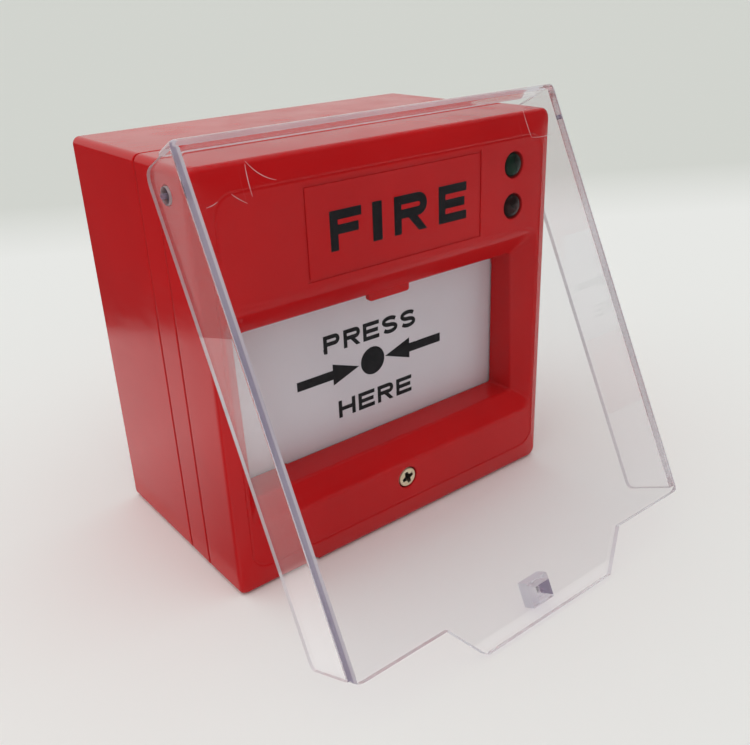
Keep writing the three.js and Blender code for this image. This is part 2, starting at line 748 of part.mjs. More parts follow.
const callPoint = new THREE.Group();
callPoint.add(
  backBox(),
  middleFrame(),
  frontShell(),
  ...fasteners(),
  pressPlate(),
  ...plateSprings(),
  latchSpring(),
  ...lamps(),
  circuitBoard(),
  ...AXIAL_PARTS.map(axialPart),
  ...microswitch(),
  ...terminalBlock(),
  clearFlap(),
);

export default callPoint;
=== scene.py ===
# A manual call point for a fire alarm: a glossy red casing in three mouldings, a white press plate
# in a dished window, two indicator lamps and a clear flap that stands open on its tab.
#
# Lengths are written in millimetres. "Depth" is the distance out from the wall, along -Y.

import math
from collections import namedtuple

import bmesh
import bpy
from mathutils import Matrix, Vector


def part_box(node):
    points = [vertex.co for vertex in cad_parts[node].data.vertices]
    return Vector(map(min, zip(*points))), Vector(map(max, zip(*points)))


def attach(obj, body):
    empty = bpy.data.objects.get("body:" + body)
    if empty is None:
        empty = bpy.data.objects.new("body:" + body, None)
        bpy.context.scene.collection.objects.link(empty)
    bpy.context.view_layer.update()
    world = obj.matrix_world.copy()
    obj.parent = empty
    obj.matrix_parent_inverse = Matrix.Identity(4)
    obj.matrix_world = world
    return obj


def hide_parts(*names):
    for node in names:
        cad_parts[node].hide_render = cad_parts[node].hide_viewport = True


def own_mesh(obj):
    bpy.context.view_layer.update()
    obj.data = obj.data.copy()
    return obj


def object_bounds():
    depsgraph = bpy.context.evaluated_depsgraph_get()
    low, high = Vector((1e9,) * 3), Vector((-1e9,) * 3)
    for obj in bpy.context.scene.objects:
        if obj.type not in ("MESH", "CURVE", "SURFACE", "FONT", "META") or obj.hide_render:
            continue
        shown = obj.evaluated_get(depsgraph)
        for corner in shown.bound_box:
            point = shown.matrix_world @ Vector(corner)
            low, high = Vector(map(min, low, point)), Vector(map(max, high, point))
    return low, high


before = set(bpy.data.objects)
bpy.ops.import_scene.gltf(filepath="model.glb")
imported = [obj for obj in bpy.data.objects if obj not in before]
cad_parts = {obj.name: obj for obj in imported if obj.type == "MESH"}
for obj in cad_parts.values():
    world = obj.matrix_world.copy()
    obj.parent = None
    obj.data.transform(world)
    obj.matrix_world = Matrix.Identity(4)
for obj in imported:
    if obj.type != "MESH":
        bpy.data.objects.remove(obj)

MM = 0.001
CAD_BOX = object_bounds()
FLOOR_Z = CAD_BOX[0].z

# ---- Sizes ----

CORNER_STEPS = 10
SOFT_STEPS = 5
ROUND_STEPS = 48

CASE_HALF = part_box("back_box")[1].x / MM
CASE_CORNER = 1.6
INNER_CORNER = 1.0
INNER_EDGE = 0.15
WALL = 2.3
INSIDE = CASE_HALF - WALL
REAR_WALL = 2.4
BOX_FRONT = 30.0
FRAME_REAR = 30.3
FRAME_FLOOR = 32.3
FRAME_FRONT = 38.1
SHELL_REAR = 38.4
SHELL_FRONT = -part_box("front_shell")[0].y / MM
SHELL_RIM = 1.1
SHELL_DRAFT = 0.1
PARTING_EDGE = 0.4

POST_X = 30.15
KNOCKOUT_X = 20.0
KNOCKOUT_Z = -20.0
SLOT_Z = 30
CLIP_X = 24
SCREW_Z = -31.8
LAMP_X = 31.3
GREEN_LAMP_Z = 32.5
RED_LAMP_Z = 23.7
LAMP_HOLE = 2.75
PIVOT_DEPTH = 45.1
PIVOT_Z = 38.1
WINDOW_TOP = 11.3
TONGUE_DROP = 1.4

PLATE_FRONT = 41.6
SPRING_RADIUS = 2.8
SPRING_WIRE = 0.3
SPRING_TURNS = 4
SPRING_TURN_STEPS = 24
SPRING_WIRE_STEPS = 10

# The flap's own frame has its origin on the pivot, with the flap shut.
FLAP_TILT = math.radians(26.14)
FLAP_HALF = 45.1
FLAP_TOP = 6.5
FLAP_WALL_X = 42.5
FLAP_SHEET_REAR = -8.0
FLAP_SHEET_FRONT = -10.2

BOARD_SCREWS = [(-33, 34), (20, 34), (-20, -20), (20, -20)]
PEGS = [(-33, -19), (33, -19), (-33, 8.5), (33, 8.5)]


# ---- Meshes ----

def at(x, depth, z):
    return Vector((x, -depth, z)) * MM


def span(middle, half):
    """The two ends of a length, from its middle."""
    return (middle - half, middle + half)


def mesh_object(name, bm):
    bmesh.ops.remove_doubles(bm, verts=bm.verts, dist=1e-7)
    bmesh.ops.dissolve_degenerate(bm, edges=bm.edges, dist=1e-8)
    bmesh.ops.recalc_face_normals(bm, faces=bm.faces)
    mesh = bpy.data.meshes.new(name)
    bm.to_mesh(mesh)
    bm.free()
    obj = bpy.data.objects.new(name, mesh)
    bpy.context.scene.collection.objects.link(obj)
    return obj


def loft(name, loops, closed=False):
    """A skin over loops of points. Closed joins the last loop to the first, open caps both."""
    bm = bmesh.new()
    rows = [[bm.verts.new(p) for p in loop] for loop in loops]
    pairs = list(zip(rows, rows[1:]))
    if closed:
        pairs.append((rows[-1], rows[0]))
    for a, b in pairs:
        for i in range(len(a)):
            bm.faces.new((a[i - 1], a[i], b[i], b[i - 1]))
    if not closed:
        bm.faces.new(rows[0])
        bm.faces.new(rows[-1][::-1])
    return mesh_object(name, bm)


Ring = namedtuple("Ring", "half_x low high radius depth upper_depth")


def ring(half_x, low, high, radius, depth, upper_depth=None):
    """A rounded rectangle across the front, at one depth or sloping to another at its top."""
    return Ring(half_x, low, high, radius, depth, depth if upper_depth is None else upper_depth)


def case_ring(inset, depth, radius=None):
    """A ring that follows the casing's outside."""
    half = CASE_HALF - inset
    return ring(half, -half, half, radius or max(CASE_CORNER - inset, 0.2), depth)


def cavity_ring(depth):
    """A ring that follows the inside of the casing's walls."""
    return case_ring(WALL, depth, INNER_CORNER)


def ring_points(r):
    side = r.half_x - r.radius
    corners = [
        (side, r.low + r.radius, -90),
        (side, r.high - r.radius, 0),
        (-side, r.high - r.radius, 90),
        (-side, r.low + r.radius, 180),
    ]
    points = []
    for x, z, start in corners:
        for i in range(CORNER_STEPS + 1):
            angle = math.radians(start + 90 * i / CORNER_STEPS)
            px = x + r.radius * math.cos(angle)
            pz = z + r.radius * math.sin(angle)
            share = (pz - r.low) / (r.high - r.low)
            points.append(at(px, r.depth + (r.upper_depth - r.depth) * share, pz))
    return points


def mix(a, b, share):
    return Ring(*(p + (q - p) * share for p, q in zip(a, b)))


def softened(stops):
    """Rings along a profile whose corners are drawn off over the reach given beside each."""
    rings = []
    for i, (corner, reach) in enumerate(stops):
        if reach == 0:
            rings.append(corner)
            continue
        ends = []
        for near, _ in (stops[i - 1], stops[(i + 1) % len(stops)]):
            distance = max(abs(p - q) for p, q in zip(near, corner))
            ends.append(mix(corner, near, min(reach / distance, 1)))
        for k in range(SOFT_STEPS + 1):
            t = k / SOFT_STEPS
            rings.append(mix(mix(ends[0], corner, t), mix(corner, ends[1], t), t))
    return rings


def moulding(name, stops, closed):
    """A skin along a profile of stops, each a ring and how far its corner is drawn off."""
    return loft(name, [ring_points(r) for r in softened(stops)], closed)


def lathe(name, centre, profile, along="front", steps=ROUND_STEPS):
    """A turned solid. The profile lists (radius, distance) from end to end on the axis."""
    def place(radius, distance, angle):
        u = radius * math.cos(angle)
        v = radius * math.sin(angle)
        if along == "front":
            return at(centre[0] + u, distance, centre[1] + v)
        return at(distance, centre[0] + u, centre[1] + v)

    bm = bmesh.new()
    rows = []
    for radius, distance in profile:
        count = 1 if radius == 0 else steps
        row = [bm.verts.new(place(radius, distance, math.tau * i / steps)) for i in range(count)]
        rows.append(row)
    for a, b in zip(rows, rows[1:]):
        for i in range(steps):
            if len(a) == 1:
                bm.faces.new((a[0], b[i], b[i - 1]))
            elif len(b) == 1:
                bm.faces.new((a[i - 1], a[i], b[0]))
            else:
                bm.faces.new((a[i - 1], a[i], b[i], b[i - 1]))
    return mesh_object(name, bm)


def rod(centre, radius, depths, along="front", steps=24):
    near, far = depths
    return lathe("rod", centre, [(0, near), (radius, near), (radius, far), (0, far)], along, steps)


def flared_hole(centre, radius, face, floor, lip=0.3, along="front", out=1):
    """A cutter for a round hole whose mouth at the face is rounded over. out is +1 or -1."""
    profile = [(0, face + out), (radius + lip, face + out)]
    for i in range(SOFT_STEPS + 1):
        angle = math.pi / 2 * i / SOFT_STEPS
        profile.append((
            radius + lip * (1 - math.sin(angle)),
            face - out * lip * (1 - math.cos(angle)),
        ))
    profile += [(radius, floor), (0, floor)]
    return lathe("hole", centre, profile, along)


def brick(x, depths, z):
    bm = bmesh.new()
    bmesh.ops.create_cube(bm, size=1)
    size = Vector((x[1] - x[0], depths[1] - depths[0], z[1] - z[0]))
    middle = at(sum(x) / 2, sum(depths) / 2, sum(z) / 2)
    bmesh.ops.transform(bm, matrix=Matrix.LocRotScale(middle, None, size * MM), verts=bm.verts)
    return mesh_object("brick", bm)


def arc(x, z, radius_x, radius_z, start, end, steps=10):
    """Points along an ellipse, between two angles in degrees."""
    angles = [math.radians(start + (end - start) * i / steps) for i in range(steps + 1)]
    return [(x + radius_x * math.cos(a), z + radius_z * math.sin(a)) for a in angles]


def rounded_outline(corners, steps=8):
    """A polygon with each corner rounded, given as (x, z, radius)."""
    points = []
    for i, (x, z, radius) in enumerate(corners):
        corner = Vector((x, z))
        if radius == 0:
            points.append((x, z))
            continue
        back = (Vector(corners[i - 1][:2]) - corner).normalized()
        on = (Vector(corners[(i + 1) % len(corners)][:2]) - corner).normalized()
        reach = radius / math.tan(back.angle(on) / 2)
        for k in range(steps + 1):
            t = k / steps
            start = corner + back * reach * (1 - t)
            end = corner + on * reach * t
            points.append(tuple(start.lerp(end, t)))
    return points


def rounded_box(x, z, radius):
    return rounded_outline([
        (x[0], z[0], radius),
        (x[1], z[0], radius),
        (x[1], z[1], radius),
        (x[0], z[1], radius),
    ])


def inset_outline(points, distance):
    """Moves an anticlockwise outline inwards."""
    sharpest = 0.3
    moved = []
    for i, point in enumerate(points):
        here = Vector(point)
        back = (here - Vector(points[i - 1])).normalized()
        on = (Vector(points[(i + 1) % len(points)]) - here).normalized()
        normal = Vector((-(back.y + on.y), back.x + on.x)).normalized()
        spread = max(normal.dot(Vector((-on.y, on.x))), sharpest)
        moved.append(tuple(here + normal * distance / spread))
    return moved


def slab(name, outline, rear, front, edge=0.3):
    """An outline given thickness, with both of its rims rounded."""
    steps = 4
    turns = [math.pi / 2 * i / steps for i in range(steps + 1)]
    rear_rim = [(edge * (1 - math.sin(a)), rear + edge * (1 - math.cos(a))) for a in turns]
    front_rim = [(inset, rear + front - depth) for inset, depth in reversed(rear_rim)]
    loops = []
    for inset, depth in rear_rim + front_rim:
        loops.append([at(x, depth, z) for x, z in inset_outline(outline, inset)])
    return loft(name, loops)


def combine(obj, others, operation):
    """Joins the others onto an object, or cuts them out of it, and removes them."""
    for other in others:
        modifier = obj.modifiers.new("shape", "BOOLEAN")
        modifier.operation = operation
        modifier.solver = "EXACT"
        modifier.object = other
    settle(obj)
    for other in others:
        bpy.data.objects.remove(other)
    return obj


def settle(obj):
    """Turns an object's modifiers into its mesh."""
    bpy.context.view_layer.update()
    graph = bpy.context.evaluated_depsgraph_get()
    mesh = bpy.data.meshes.new_from_object(obj.evaluated_get(graph))
    obj.modifiers.clear()
    obj.data = mesh
    obj.data.name = obj.name


def smooth(obj, angle=32):
    """Smooth shading that keeps real edges crisp and large flats flat."""
    obj.data.polygons.foreach_set("use_smooth", [True] * len(obj.data.polygons))
    obj.data.set_sharp_from_angle(angle=math.radians(angle))
    weighted = obj.modifiers.new("flat faces stay flat", "WEIGHTED_NORMAL")
    weighted.keep_sharp = True
    weighted.weight = 80
    return obj


def refined(name, node, edge):
    """A copy of a CAD solid with its facets merged and its edges broken."""
    same_point = 2e-6
    same_plane = math.radians(1)
    real_edge = math.radians(35)
    bm = bmesh.new()
    bm.from_mesh(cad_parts[node].data)
    bmesh.ops.remove_doubles(bm, verts=bm.verts, dist=same_point)
    bmesh.ops.dissolve_limit(bm, angle_limit=same_plane, verts=bm.verts, edges=bm.edges)
    obj = mesh_object(name, bm)
    bevel = obj.modifiers.new("broken edges", "BEVEL")
    bevel.width = edge * MM
    bevel.segments = 3
    bevel.angle_limit = real_edge
    bevel.miter_outer = "MITER_ARC"
    settle(obj)
    return obj


def fit(obj, body, slot, material, *nodes):
    """Gives a piece its body and its finish, and hides the CAD nodes that it stands for."""
    obj.data.materials.clear()
    obj.data.materials.append(material)
    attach(obj, body)
    if nodes:
        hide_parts(*nodes)


# ---- Materials ----

def maths(tree, kind, operation, *values):
    """A maths node. Each value is a constant or another node's output."""
    node = tree.nodes.new(kind)
    node.operation = operation
    for value, socket in zip(values, node.inputs):
        if isinstance(value, bpy.types.NodeSocket):
            tree.links.new(value, socket)
        else:
            socket.default_value = value
    return node


def larger(tree, first, second):
    return maths(tree, "ShaderNodeMath", "MAXIMUM", first, second).outputs[0]


def remapped(tree, source, low, high, to_low, to_high, curve="LINEAR"):
    node = tree.nodes.new("ShaderNodeMapRange")
    node.interpolation_type = curve
    values = {"From Min": low, "From Max": high, "To Min": to_low, "To Max": to_high}
    for name, value in values.items():
        node.inputs[name].default_value = value
    tree.links.new(source, node.inputs["Value"])
    return node.outputs["Result"]


class Surface:
    """A material with one Principled shader and short calls for the nodes that feed it."""

    def __init__(self, name):
        self.material = bpy.data.materials.new(name)
        self.material.use_nodes = True
        self.tree = self.material.node_tree
        self.nodes = self.tree.nodes
        self.links = self.tree.links
        self.shader = self.nodes["Principled BSDF"]
        self.place = self.nodes.new("ShaderNodeTexCoord").outputs["Object"]

    def set(self, **values):
        for name, value in values.items():
            self.shader.inputs[name.replace("_", " ")].default_value = value

    def feed(self, source, name):
        self.links.new(source, self.shader.inputs[name])

    def stretched(self, scale, turn):
        node = self.nodes.new("ShaderNodeMapping")
        node.inputs["Scale"].default_value = scale
        node.inputs["Rotation"].default_value = turn
        self.links.new(self.place, node.inputs["Vector"])
        return node.outputs["Vector"]

    def noise(self, scale, detail, place=None):
        node = self.nodes.new("ShaderNodeTexNoise")
        node.inputs["Scale"].default_value = scale
        node.inputs["Detail"].default_value = detail
        self.links.new(place or self.place, node.inputs["Vector"])
        return node.outputs["Fac"]

    def remap(self, source, low, high, to_low, to_high):
        return remapped(self.tree, source, low, high, to_low, to_high)

    def drift(self, scale, detail, low=0, high=1):
        """Noise that keeps to a range."""
        return self.remap(self.noise(scale, detail), 0.3, 0.7, low, high)

    def blend(self, share, first, second):
        node = self.nodes.new("ShaderNodeMix")
        node.data_type = "RGBA"
        node.inputs["A"].default_value = (*first, 1)
        node.inputs["B"].default_value = (*second, 1)
        self.links.new(share, node.inputs["Factor"])
        return node.outputs["Result"]

    def bump(self, height, distance, strength, under=None):
        node = self.nodes.new("ShaderNodeBump")
        node.inputs["Strength"].default_value = strength
        node.inputs["Distance"].default_value = distance
        self.links.new(height, node.inputs["Height"])
        if under:
            self.links.new(under, node.inputs["Normal"])
        return node.outputs["Normal"]

    def colour(self, scale, detail, first, second):
        self.feed(self.blend(self.drift(scale, detail), first, second), "Base Color")

    def roughness(self, scale, detail, low, high):
        self.feed(self.drift(scale, detail, low, high), "Roughness")

    def grain(self, scale, distance, strength, under=None):
        self.feed(self.bump(self.noise(scale, 2), distance, strength, under), "Normal")


def red_plastic():
    s = Surface("glossy_red_plastic")
    s.set(Specular_IOR_Level=0.2, IOR=1.5)
    s.colour(35, 2, (0.49, 0.0025, 0.0045), (0.56, 0.004, 0.006))
    rub = s.noise(120, 5, s.stretched((1, 1, 5), (0.3, 0.2, 0.5)))
    s.feed(s.remap(rub, 0.35, 0.75, 0.13, 0.24), "Roughness")
    ripple = s.bump(s.noise(260, 2), 0.00002, 0.25)
    s.grain(2200, 0.000008, 0.3, ripple)
    return s.material


def let_light_through(s, tint):
    """Lamp light and bounced light pass straight through, so what is behind stays lit."""
    rays = s.nodes.new("ShaderNodeLightPath").outputs
    clear = s.nodes.new("ShaderNodeBsdfTransparent")
    clear.inputs["Color"].default_value = (*tint, 1)
    both = s.nodes.new("ShaderNodeMixShader")
    s.links.new(larger(s.tree, rays["Is Shadow Ray"], rays["Is Diffuse Ray"]), both.inputs[0])
    s.links.new(s.shader.outputs[0], both.inputs[1])
    s.links.new(clear.outputs[0], both.inputs[2])
    s.links.new(both.outputs[0], s.nodes["Material Output"].inputs["Surface"])


def clear_plastic():
    s = Surface("clear_acrylic")
    s.set(IOR=1.49, Transmission_Weight=1.0, Roughness=0.015)
    s.set(Base_Color=(0.99, 0.985, 0.995, 1))
    scratches = s.noise(300, 2, s.stretched((1, 0.03, 1), (0.3, 0.4, 0.8)))
    lines = s.remap(scratches, 0.72, 0.76, 0, 1)
    s.feed(s.bump(lines, 0.00001, 0.3), "Normal")
    let_light_through(s, (0.99, 0.985, 0.99))
    return s.material


def painted_clear_edge(name, dark, light, clearness):
    """The narrow faces of the clear moulding, with a pale or dark colour that paints the light and
    shade they gather, and a rough face that scatters light instead of mirroring it.
    """
    s = Surface(name)
    s.set(IOR=1.05, Transmission_Weight=clearness)
    s.colour(28, 2, dark, light)
    s.roughness(60, 2, 0.3, 0.38)
    let_light_through(s, (0.93, 0.92, 0.95))
    return s.material


def white_plastic():
    s = Surface("white_moulded_plastic")
    s.colour(50, 3, (0.68, 0.645, 0.69), (0.74, 0.705, 0.75))
    s.roughness(500, 3, 0.42, 0.52)
    s.grain(3000, 0.000008, 0.4)
    return s.material


def black_print():
    s = Surface("black_print")
    s.set(Specular_IOR_Level=0.15)
    s.colour(900, 3, (0.004, 0.004, 0.006), (0.009, 0.009, 0.012))
    s.roughness(1500, 2, 0.38, 0.55)
    return s.material


def lens(name, dark, light):
    s = Surface(name)
    s.set(IOR=1.52, Specular_IOR_Level=0.15)
    swirl = s.remap(s.noise(420, 2), 0.35, 0.7, 0, 1)
    s.feed(s.blend(swirl, dark, light), "Base Color")
    s.roughness(900, 2, 0.06, 0.12)
    return s.material


def metal(name, dark, light, metallic=1.0):
    s = Surface(name)
    s.set(Metallic=metallic)
    s.colour(600, 4, dark, light)
    s.roughness(1800, 3, 0.25, 0.4)
    s.grain(5000, 0.000005, 0.5)
    return s.material


def matt_plastic(name, dark, light):
    s = Surface(name)
    s.colour(200, 3, dark, light)
    s.roughness(900, 3, 0.4, 0.55)
    s.grain(4000, 0.00001, 0.4)
    return s.material


RED = red_plastic()
CLEAR = clear_plastic()
# Painted light and shade on the flap's narrow faces: a pale copy on the rounded wall edges that
# face forward, a dark copy of painted shade on those that face sideways and in the pin's bore and
# the eyelet, and paler copies of painted light on the ends and cut faces.
CLEAR_ROUND_PAINTED_LIGHT = painted_clear_edge("clear_acrylic_round_painted_light", (0.42, 0.38, 0.45), (0.57, 0.52, 0.58), 0.15)
CLEAR_PAINTED_SHADE = painted_clear_edge("clear_acrylic_painted_shade", (0.20, 0.17, 0.26), (0.34, 0.30, 0.39), 0.3)
CLEAR_END_PAINTED_LIGHT = painted_clear_edge("clear_acrylic_end_painted_light", (0.54, 0.50, 0.53), (0.68, 0.63, 0.66), 0.3)
CLEAR_CUT_PAINTED_LIGHT = painted_clear_edge("clear_acrylic_cut_painted_light", (0.66, 0.65, 0.70), (0.80, 0.79, 0.84), 0.45)
WHITE = white_plastic()
PRINT = black_print()
GREEN_LENS = lens("green_lens", (0.002, 0.008, 0.005), (0.003, 0.024, 0.011))
RED_LENS = lens("red_lens", (0.008, 0.002, 0.002), (0.026, 0.003, 0.003))
ZINC = metal("yellow_zinc", (0.72, 0.60, 0.40), (0.88, 0.78, 0.56), 0.5)
# A dark metal that is painted shade for the inside of the screw's cross recess.
RECESS_PAINTED_SHADE = metal("recess_painted_shade", (0.05, 0.035, 0.02), (0.09, 0.06, 0.035))
STEEL = metal("spring_steel", (0.45, 0.46, 0.47), (0.60, 0.61, 0.63))
BRASS = metal("brass", (0.52, 0.36, 0.13), (0.66, 0.47, 0.19))
SCRATCH = matt_plastic("scratch", (0.50, 0.38, 0.40), (0.70, 0.56, 0.58))
BLACK = matt_plastic("black_moulding", (0.012, 0.012, 0.013), (0.022, 0.022, 0.024))
GREEN = matt_plastic("green_moulding", (0.02, 0.16, 0.06), (0.03, 0.20, 0.08))
BOARD = matt_plastic("board_laminate", (0.008, 0.07, 0.025), (0.012, 0.10, 0.035))
SAND = matt_plastic("resistor_coat", (0.36, 0.26, 0.13), (0.46, 0.34, 0.18))


# ---- Casing ----

def back_box():
    """A box with a post for each frame screw, and a rib through each post."""
    box = moulding("box_moulding", [
        (cavity_ring(REAR_WALL), 0.6),
        (cavity_ring(BOX_FRONT), INNER_EDGE),
        (case_ring(0, BOX_FRONT), PARTING_EDGE),
        (case_ring(0, 0), 0.7),
        (case_ring(1, 0), 0),
    ], closed=False)
    post_radius = 4.6
    bore_radius = 3
    bore_floor = 16
    rib_half_width = 0.8
    rib_half_length = 12
    root = REAR_WALL / 2
    added = []
    cut = []
    for side in (-1, 1):
        post = (side * POST_X, 0)
        across = span(post[0], rib_half_width)
        added.append(rod(post, post_radius, (root, BOX_FRONT)))
        added.append(brick(across, (root, bore_floor), span(0, rib_half_length)))
        cut.append(rod(post, bore_radius, (bore_floor, BOX_FRONT + 1)))
        cut.append(knockout_groove((side * KNOCKOUT_X, KNOCKOUT_Z)))
    combine(box, added, "UNION")
    cut += wall_slots()
    combine(box, cut, "DIFFERENCE")
    fit(smooth(box), "housing", "red_plastic", RED, "back_box")


def knockout_groove(centre):
    """A cutter for the ring-shaped groove round a cable knockout in the rear wall."""
    inner, outer = 9, 10
    deep, draft, past = 1.3, 0.15, -1
    profile = [(inner, past), (inner, 0), (inner + draft, deep)]
    profile += [(outer - draft, deep), (outer, 0), (outer, past), (inner, past)]
    return lathe("groove", centre, profile)


def wall_slots():
    """Cutters for a level slot and an upright one, for the wall screws."""
    long, wide = 4.5, 2.3
    corner = wide * 0.95
    upper = rounded_box(span(0, long), span(SLOT_Z, wide), corner)
    lower = rounded_box(span(0, wide), span(-SLOT_Z, long), corner)
    return [slab("slot", outline, -1, REAR_WALL + 1, 0.01) for outline in (upper, lower)]


def middle_frame():
    """A tray with a seat for each board screw, and a boss for the front screw's insert."""
    tray = moulding("frame_moulding", [
        (cavity_ring(FRAME_FLOOR), 0.5),
        (cavity_ring(FRAME_FRONT), INNER_EDGE),
        (case_ring(0, FRAME_FRONT), PARTING_EDGE),
        (case_ring(0, FRAME_REAR), PARTING_EDGE),
        (case_ring(1, FRAME_REAR), 0),
    ], closed=False)
    seat_radius, seat_front = 3, 33.3
    boss_radius, boss_front = 4.2, 44.2
    root = FRAME_FLOOR - 0.5
    added = [rod(centre, seat_radius, (root, seat_front)) for centre in BOARD_SCREWS]
    added.append(rod((0, SCREW_Z), boss_radius, (root, boss_front)))
    combine(tray, added, "UNION")
    combine(tray, frame_openings(), "DIFFERENCE")
    fit(smooth(tray), "housing", "red_plastic", RED, "middle_frame")


def frame_openings():
    """Cutters for the screws, the plate's pegs, the wires, the front screw's insert and the
    catches of the front shell."""
    through = (FRAME_REAR - 1, FRAME_FRONT)
    board_screw, peg, insert, frame_screw = 1.4, 2.4, 2.9, 2.1
    catch_half, catch_depths = 4.4, (34.9, 37.2)
    cut = [rod(centre, board_screw, through) for centre in BOARD_SCREWS]
    cut += [rod(centre, peg, through) for centre in PEGS]
    cut.append(brick((-11, 11), through, (-23, -9)))
    cut.append(rod((0, SCREW_Z), insert, (36, 46)))
    for side in (-1, 1):
        cut.append(rod((side * POST_X, 0), frame_screw, through))
        catch = span(side * CLIP_X, catch_half)
        cut.append(brick(catch, catch_depths, (INSIDE - 0.5, CASE_HALF - 0.8)))
    return cut


def frame_openings():
    """Cutters for the screws, the plate's pegs, the terminals, the front screw's insert and
    the catches of the front shell."""
    through = (FRAME_REAR - 1, FRAME_FRONT)
    insert_depths = (36, 46)
    catch_depths = (34.9, 37.2)
    cut = [rod(centre, 1.4, through) for centre in BOARD_SCREWS]
    cut += [rod(centre, 2.4, through) for centre in PEGS]
    cut.append(brick((-11, 11), through, (-23, -9)))
    cut.append(rod((0, SCREW_Z), 2.9, insert_depths))
    for side in (-1, 1):
        cut.append(rod((side * POST_X, 0), 2.1, through))
        catch = span(side * CLIP_X, 4.4)
        cut.append(brick(catch, catch_depths, (INSIDE - 0.5, CASE_HALF - 0.8)))
    return cut


def front_shell():
    face = SHELL_FRONT
    shoulder = 42.5
    window_rear = 42
    dish_rear = 47.4
    shell = moulding("front_moulding", [
        # Over the outside.
        (cavity_ring(SHELL_REAR), INNER_EDGE),
        (case_ring(0, SHELL_REAR), PARTING_EDGE),
        (case_ring(0, shoulder), 2),
        (case_ring(SHELL_DRAFT, face - SHELL_RIM), 1.2),
        # Across the face, with a fine groove near its edge.
        (ring(40.1, -37.6, 38.4, 4, face), 0.15),
        (ring(39.8, -37.3, 38.1, 3.8, face - 0.2), 0.12),
        (ring(39.5, -37.0, 37.8, 3.6, face), 0.15),
        (ring(39.44, -28.8, 18.7, 3.3, face), 0),
        # Down the dish and through the window.
        (ring(39.1, -27.5, 17.0, 3, face), 1.4),
        (ring(35.5, -23, WINDOW_TOP, 0.7, 49.2, 47.8), 0.6),
        (ring(35.5, -23, WINDOW_TOP, 0.7, window_rear), 0.3),
        # Back along the inside.
        (ring(37.3, -24.8, 13.1, 1.2, window_rear), 0.3),
        (ring(37.3, -24.8, 13.1, 1.2, dish_rear), 0),
        (ring(40.3, -29, 19, 1.2, dish_rear), 0),
        (ring(40.3, -29, 19, 1.2, face - WALL), 0),
        (cavity_ring(face - WALL), 0),
    ], closed=True)
    combine(shell, shell_fittings(), "UNION")
    combine(shell, shell_openings(), "DIFFERENCE")
    fit(smooth(shell), "housing", "red_plastic", RED, "front_shell")


def shell_fittings():
    """The tongue over the window, the screw's boss, and two clips that reach into the frame."""
    wall_rear = SHELL_FRONT - WALL + 0.1
    added = [tongue(), rod((0, SCREW_Z), 3.8, (44.5, wall_rear))]
    for side in (-1, 1):
        x = span(side * CLIP_X, 4)
        arm = brick(x, (35, wall_rear), (38.6, INSIDE - 0.4))
        catch = brick(x, (35.3, 36.8), (INSIDE - 1, INSIDE + 1))
        root = brick(x, (SHELL_REAR + 0.3, wall_rear), (INSIDE - 0.8, INSIDE + 0.3))
        added += [arm, catch, root]
    return added


def tongue():
    half, corner = 5.3, 0.8
    top = WINDOW_TOP + 0.5
    bottom = WINDOW_TOP - TONGUE_DROP
    outline = rounded_outline([
        (-half, top, 0),
        (-half, bottom, corner),
        (half, bottom, corner),
        (half, top, 0),
    ])
    return slab("tongue", outline, 46.6, 48, 0.2)


def shell_openings():
    """Cutters for the lamps, the front screw, the flap's pins and the legend's frame."""
    face = SHELL_FRONT
    screw, screw_head, screw_shank = (0, SCREW_Z), 2.55, 1.8
    pivot, pin = (PIVOT_DEPTH, PIVOT_Z), 1.9
    lamps = (GREEN_LAMP_Z, RED_LAMP_Z)
    cut = [flared_hole((LAMP_X, z), LAMP_HOLE, face, face - 5) for z in lamps]
    cut.append(flared_hole(screw, screw_head, face, face - 2, 0.25))
    cut.append(rod(screw, screw_shank, (SHELL_REAR, face)))
    for side in (-1, 1):
        edge = side * CASE_HALF
        cut.append(flared_hole(pivot, pin, edge, edge - side * 5, 0.15, "side", side))
    cut.append(legend_groove())
    return cut


def legend_groove():
    """A cutter for the shallow trench that frames the legend."""
    left, right = -22.5, 21.5
    low, high = 19, 37
    wide, deep = 0.5, 0.22
    depths = (SHELL_FRONT - deep, SHELL_FRONT + 1)
    outer = brick((left, right), depths, (low, high))
    past = (depths[0] - 1, depths[1] + 1)
    inner = brick((left + wide, right - wide), past, (low + wide, high - wide))
    return combine(outer, [inner], "DIFFERENCE")


# ---- Press plate ----

def press_plate():
    plate = smooth(refined("press_plate_moulding", "press_plate", 0.25))
    fit(plate, "plate", "white_plastic", WHITE, "press_plate")


def plate_springs():
    """Coils with their ends closed up."""
    for i, (x, z) in enumerate(PEGS):
        node = "plate_spring_" + str(i + 1)
        low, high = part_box(node)
        rear = -high.y / MM + SPRING_WIRE
        front = -low.y / MM - SPRING_WIRE
        coil = smooth(spring(node + "_coil", (x, z), rear, front), 80)
        fit(coil, "housing", "spring_steel", STEEL, node)
        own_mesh(coil)


def spring(name, centre, rear, front):
    """A round wire wound along the depth, with its turns drawn close at both ends."""
    loops = []
    steps = SPRING_TURNS * SPRING_TURN_STEPS
    for i in range(steps + 1):
        share = i / steps
        eased = share - 0.5 * math.sin(math.tau * share) / math.tau
        angle = math.tau * SPRING_TURNS * share
        depth = rear + (front - rear) * eased
        loop = []
        for k in range(SPRING_WIRE_STEPS):
            turn = math.tau * k / SPRING_WIRE_STEPS
            reach = SPRING_RADIUS + SPRING_WIRE * math.cos(turn)
            loop.append(at(
                centre[0] + reach * math.cos(angle),
                depth + SPRING_WIRE * math.sin(turn),
                centre[1] + reach * math.sin(angle),
            ))
        loops.append(loop)
    return loft(name, loops)


# ---- Legends ----

